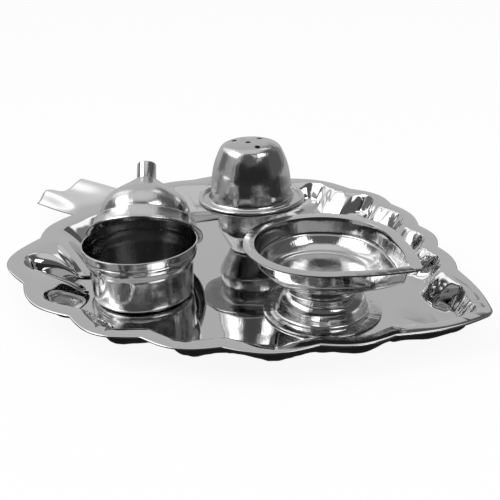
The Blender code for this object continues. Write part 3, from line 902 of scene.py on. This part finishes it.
def incenseStand():
    s = standSet
    centre = s["place"] + (rest,)
    under = s["cupHeight"] - s["wall"]
    small, flare = s["baseRound"], s["flareRound"]
    coneTop = (s["cone"] - s["coneIn"], s["coneHeight"] - s["coneDown"])
    line = [(0, 0)] + arcLine((s["base"] - small, small), small, -90, -25, 6)
    line += flowLine(line[-1], coneTop, (0.42, 0.91), (0.45, 0.89), 12)
    line += flowLine(coneTop, (s["cone"], s["coneHeight"] + s["coneUp"]), (0.45, 0.89), (0, 1), 4)
    line += flowLine(line[-1], (s["neck"], under - flare), (0, 1), (-0.15, 0.99), 12)
    line += arcLine((s["neck"] + flare, under - flare), flare, 180, 90, 10)[1:] + [(s["flange"], under)]
    bm = spunSheet(line, turnSteps, False)
    makePiece("incenseCup", bm, steel("cupSteel", s["cupGrey"], s["look"], centre, turned=s["cupTurned"]),
              "incense_cup", ["incense_cup"], wall=s["wall"], place=shift(*centre))
    seat = s["place"] + (rest + s["cupHeight"] + s["gap"],)
    wall = s["wall"]
    shoulder = (s["capTop"], s["capHeight"] - s["topDown"])
    corner = (s["capTop"] + s["cornerOut"], s["capHeight"] - s["cornerDown"])
    line = [(0, s["capHeight"])]
    line += flowLine(line[-1], shoulder, (1, 0), (0.93, -0.37), 14, 0.33)
    line += flowLine(shoulder, corner, (0.93, -0.37), (0.42, -0.91), 12)
    line += flowLine(corner, (s["capSide"], s["sideHeight"]), (0.42, -0.91), (0.1, -1), 16)
    line += flowLine(line[-1], (s["capFoot"] - s["footIn"], s["footHeight"] + wall), (0.1, -1), (0.08, -1), 5)
    line += flowLine(line[-1], (s["capFoot"] + s["footOut"], wall), (0.08, -1), (1, 0), 12, 0.45)
    line += [(s["flange"] - 2 * s["bead"], wall)]
    line += arcLine((s["flange"] - s["bead"], wall), s["bead"], 180, 0, 12)[1:]
    bm = spunSheet(line, turnSteps, True)
    capSteel = steel("capSteel", s["capGrey"], s["look"], centre, turned=s["capTurned"])
    cap = makePiece("incenseCap", bm, capSteel, "incense_cap", ["incense_cap"], wall=wall,
                    place=shift(*seat), edge=0)
    drill = bmesh.new()
    for x, y in s["holes"]:
        bmesh.ops.create_cone(drill, cap_ends=True, segments=s["holeSteps"], radius1=s["hole"],
                              radius2=s["hole"], depth=s["drillLength"],
                              matrix=shift(seat[0] + x, seat[1] + y, seat[2] + s["capHeight"]))
    mesh = bpy.data.meshes.new("drill")
    drill.to_mesh(mesh)
    drill.free()
    cutter = bpy.data.objects.new("drill", mesh)
    scene.collection.objects.link(cutter)
    cut = cap.modifiers.new("stickHoles", "BOOLEAN")
    cut.operation = "DIFFERENCE"
    cut.solver = "EXACT"
    cut.object = cutter
    bakeModifiers(cap)
    bpy.data.objects.remove(cutter)


incenseStand()
print("incense stand made")

# Oil lamp
lampSet = {
    "look": {"Wave": 0.45, "Wave Scale": 70.0, "Rings": 0.1, "Streaks": 1.6, "Smears": 0.05,
             "Roughness": 0.025},
    "bowlGrey": 0.62, "footGrey": 0.6, "footTurned": 0.3,
    "place": (0.0541, -0.0138), "wall": 0.0008, "bowl": 0.0389, "rimWidth": 0.005, "rimHeight": 0.0362,
    "wallHeight": 0.0095, "wallLean": 0.0021, "dishDrop": 0.0066, "dish": 0.0225, "reach": 0.0515,
    "spoutRound": 0.0045, "sideBulge": 0.0012, "footFlange": 0.0297, "footDome": 0.0224,
    "footDomeHeight": 0.0115, "footWaist": 0.0170, "footTop": 0.0125, "gap": 0.0003,
    "spoutSteps": 12, "sideSteps": 16, "backSteps": 96, "wallSteps": 6, "floorSteps": 14,
    "leastRound": 0.0008,
    # inward and down from the rim, and the height of the wall that both bends take
    "rimBend": ((0.0003, 0.0002), (0.0006, 0.0009)), "bothBends": 0.0017,
    # inward and up from the wall's foot
    "floorBend": ((0.0004, 0.0003), (0.0012, 0)),
    # outward and up from the dish, and its rings: share of its radius and depth
    "dishEdge": (0.001, 0.0006), "dishRings": ((1, 0), (0.6, 0.00005), (0.2, 0.0001)),
    # the foot's bends at its waist and at its flange
    "waistOut": 0.0003, "waistUp": 0.0008, "flangeUp": 0.0024, "flangeOut": 0.0025,
}


def dropLine(inset):
    # the bowl's outline in plan: a round back, straight sides and a small round at the spout's tip
    s = lampSet
    radius = s["bowl"] - inset
    small = max(s["spoutRound"] - inset, s["leastRound"])
    lean = math.acos((s["bowl"] - s["spoutRound"]) / (s["reach"] - s["spoutRound"]))
    centre = (radius - small) / math.cos(lean)
    line = []
    for k in range(s["spoutSteps"] + 1):
        a = -lean + 2 * lean * k / s["spoutSteps"]
        line.append((centre + small * math.cos(a), small * math.sin(a)))
    out = (math.cos(lean), math.sin(lean))
    side = []
    for k in range(1, s["sideSteps"]):
        t = k / s["sideSteps"]
        along = (centre * (1 - t), small + (radius - small) * t)
        swell = along[1] + s["sideBulge"] * math.sin(math.pi * t)
        side.append((along[0] + swell * out[0], swell * out[1]))
    line += side
    for k in range(s["backSteps"] + 1):
        a = lean + (math.tau - 2 * lean) * k / s["backSteps"]
        line.append((radius * math.cos(a), radius * math.sin(a)))
    line += [(x, -y) for x, y in reversed(side)]
    return line


def lampRing(bm, line, z):
    verts = [bm.verts.new((x, y, z)) for x, y in line]
    return [bm.edges.new((verts[k], verts[(k + 1) % len(verts)])) for k in range(len(verts))]


def oilLamp():
    s = lampSet
    centre = s["place"] + (rest,)
    rim = s["rimHeight"]
    wallFoot = rim - s["wallHeight"]
    dish = wallFoot - s["dishDrop"]
    count = len(dropLine(0))
    # directions evenly round the dish, the first beside the spout as in dropLine
    angles = [math.tau * (k - s["spoutSteps"] // 2) / count for k in range(count)]
    circle = [(math.cos(a), math.sin(a)) for a in angles]
    steps = [(0, rim), (s["rimWidth"], rim)]
    steps += [(s["rimWidth"] + inward, rim - down) for inward, down in s["rimBend"]]
    bendIn, bendDown = s["rimBend"][-1]
    for k in range(1, s["wallSteps"] + 1):
        t = k / s["wallSteps"]
        steps.append((s["rimWidth"] + bendIn + (s["wallLean"] - bendIn) * t,
                      rim - bendDown - (s["wallHeight"] - s["bothBends"]) * t))
    steps += [(s["rimWidth"] + s["wallLean"] + inward, wallFoot + up) for inward, up in s["floorBend"]]
    bm = bmesh.new()
    rings = [lampRing(bm, dropLine(inset), z) for inset, z in steps]
    lastLine = dropLine(steps[-1][0])
    edge = s["dish"] + s["dishEdge"][0]
    sag = s["dishDrop"] - s["dishEdge"][1]
    for k in range(1, s["floorSteps"] + 1):
        # the bowl's floor sags from the drop's outline to a round dish
        t = k / s["floorSteps"]
        line = [(x + (u * edge - x) * t, y + (v * edge - y) * t) for (x, y), (u, v) in zip(lastLine, circle)]
        rings.append(lampRing(bm, line, wallFoot - sag * (1 - (1 - t) ** 2)))
    for share, down in s["dishRings"]:
        radius = s["dish"] * share
        rings.append(lampRing(bm, [(u * radius, v * radius) for u, v in circle], dish - down))
    for a, b in zip(rings, rings[1:]):
        bmesh.ops.bridge_loops(bm, edges=a + b)
    bmesh.ops.contextual_create(bm, geom=rings[-1])
    bmesh.ops.recalc_face_normals(bm, faces=bm.faces[:])
    if sum(face.normal.z * face.calc_area() for face in bm.faces) < 0:
        bmesh.ops.reverse_faces(bm, faces=bm.faces[:])
    makePiece("lampBowl", bm, steel("bowlSteel", s["bowlGrey"], s["look"], centre), "lamp",
              ["diya_bowl"], wall=s["wall"], place=shift(*centre))
    top = dish - s["wall"] - s["gap"]
    line = [(0, top), (s["footTop"], top)]
    waist = (s["footWaist"] - s["waistOut"], s["footDomeHeight"] + s["waistUp"])
    line += flowLine(line[-1], waist, (0.9, -0.43), (0.25, -0.97), 16)
    line += [(s["footWaist"] + s["waistOut"], s["footDomeHeight"])]
    line += flowLine(line[-1], (s["footDome"], s["flangeUp"]), (0.85, -0.53), (0.1, -1), 24)
    line += flowLine(line[-1], (s["footDome"] + s["flangeOut"], s["wall"]), (0.3, -1), (1, 0), 6)
    line += [(s["footFlange"], s["wall"])]
    bm = spunSheet(line, turnSteps, True)
    makePiece("lampFoot", bm, steel("footSteel", s["footGrey"], s["look"], centre, turned=s["footTurned"]),
              "lamp", ["diya_foot"], wall=s["wall"], place=shift(*centre))


oilLamp()
print("lamp made")
